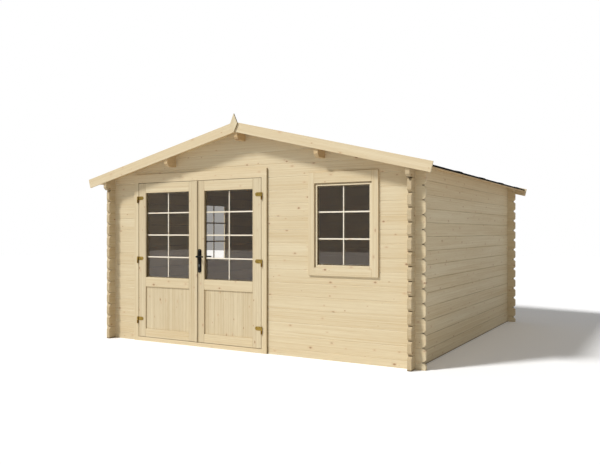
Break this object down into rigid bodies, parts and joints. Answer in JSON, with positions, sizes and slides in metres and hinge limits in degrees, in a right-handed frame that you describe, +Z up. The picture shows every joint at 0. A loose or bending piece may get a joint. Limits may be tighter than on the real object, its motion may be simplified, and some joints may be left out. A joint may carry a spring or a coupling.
{
  "type": "garden shed",
  "caption": "Square log-built garden shed with a felted gable roof, a glazed double door and small-paned windows; timber ends cross and lock at the corners.",
  "frame": {"origin": "on the ground under the middle of the floor", "axes": "+Z up, -Y out of the door wall, +X to the right of someone facing the door"},
  "size_m": [4.25, 4.17, 2.485],
  "materials": {
    "spruce_logs": "planed, untreated",
    "roof_spruce": "planed, untreated",
    "joinery_pine": "planed, untreated",
    "floor_spruce": "planed, untreated",
    "roofing_felt": "mineral grit",
    "window_glass": "clear float glass",
    "brass_hinges": "yellow passivated",
    "black_iron": "black powder coat"
  },
  "bodies": {
    "shed": {"front_wall_left": "spruce_logs", "front_wall_lower": "spruce_logs", "front_wall_middle": "spruce_logs", "front_wall_right": "spruce_logs", "front_gable": "spruce_logs", "back_wall": "spruce_logs", "right_wall": "spruce_logs", "left_wall_lower": "spruce_logs", "left_wall_front": "spruce_logs", "left_wall_rear": "spruce_logs", "left_wall_top": "spruce_logs", "ridge_purlin": "roof_spruce", "side_purlins": "roof_spruce", "roof_boards_left": "roof_spruce", "roof_boards_right": "roof_spruce", "roof_felt": "roofing_felt", "front_fascia_left": "roof_spruce", "front_fascia_right": "roof_spruce", "back_fascia_left": "roof_spruce", "back_fascia_right": "roof_spruce", "finials": "roof_spruce", "door_jamb_left": "joinery_pine", "door_jamb_right": "joinery_pine", "door_header": "joinery_pine", "door_sill": "joinery_pine", "hinge_pins": "brass_hinges", "front_window_casing": "joinery_pine", "front_window_sash": "joinery_pine", "front_window_glass": "window_glass", "left_window_casing": "joinery_pine", "left_window_sash": "joinery_pine", "left_window_glass": "window_glass", "floor_boards": "floor_spruce", "floor_bearers": "floor_spruce"},
    "left_door": {"left_door_leaf": "joinery_pine", "left_door_panel": "joinery_pine", "left_door_glass": "window_glass", "door_cover_strip": "joinery_pine", "left_door_straps": "brass_hinges"},
    "right_door": {"right_door_leaf": "joinery_pine", "right_door_panel": "joinery_pine", "right_door_glass": "window_glass", "right_door_straps": "brass_hinges", "handle_plates": "black_iron"},
    "handle": {"handle_lever": "black_iron"}
  },
  "joints": [
    {"name": "left_door_hinge", "type": "hinge", "parent": "shed", "child": "left_door", "pos_m": [-1.477, -1.929, 0.954], "axis": [0, 0, -1], "range_deg": [0, 110]},
    {"name": "right_door_hinge", "type": "hinge", "parent": "shed", "child": "right_door", "pos_m": [0.241, -1.929, 0.954], "axis": [0, 0, 1], "range_deg": [0, 110]},
    {"name": "handle_turn", "type": "hinge", "parent": "right_door", "child": "handle", "pos_m": [-0.57, -1.9, 0.99], "axis": [0, 1, 0], "range_deg": [0, 40], "stiffness_Nm_per_rad": 1.2, "springref_deg": -28.65}
  ]
}
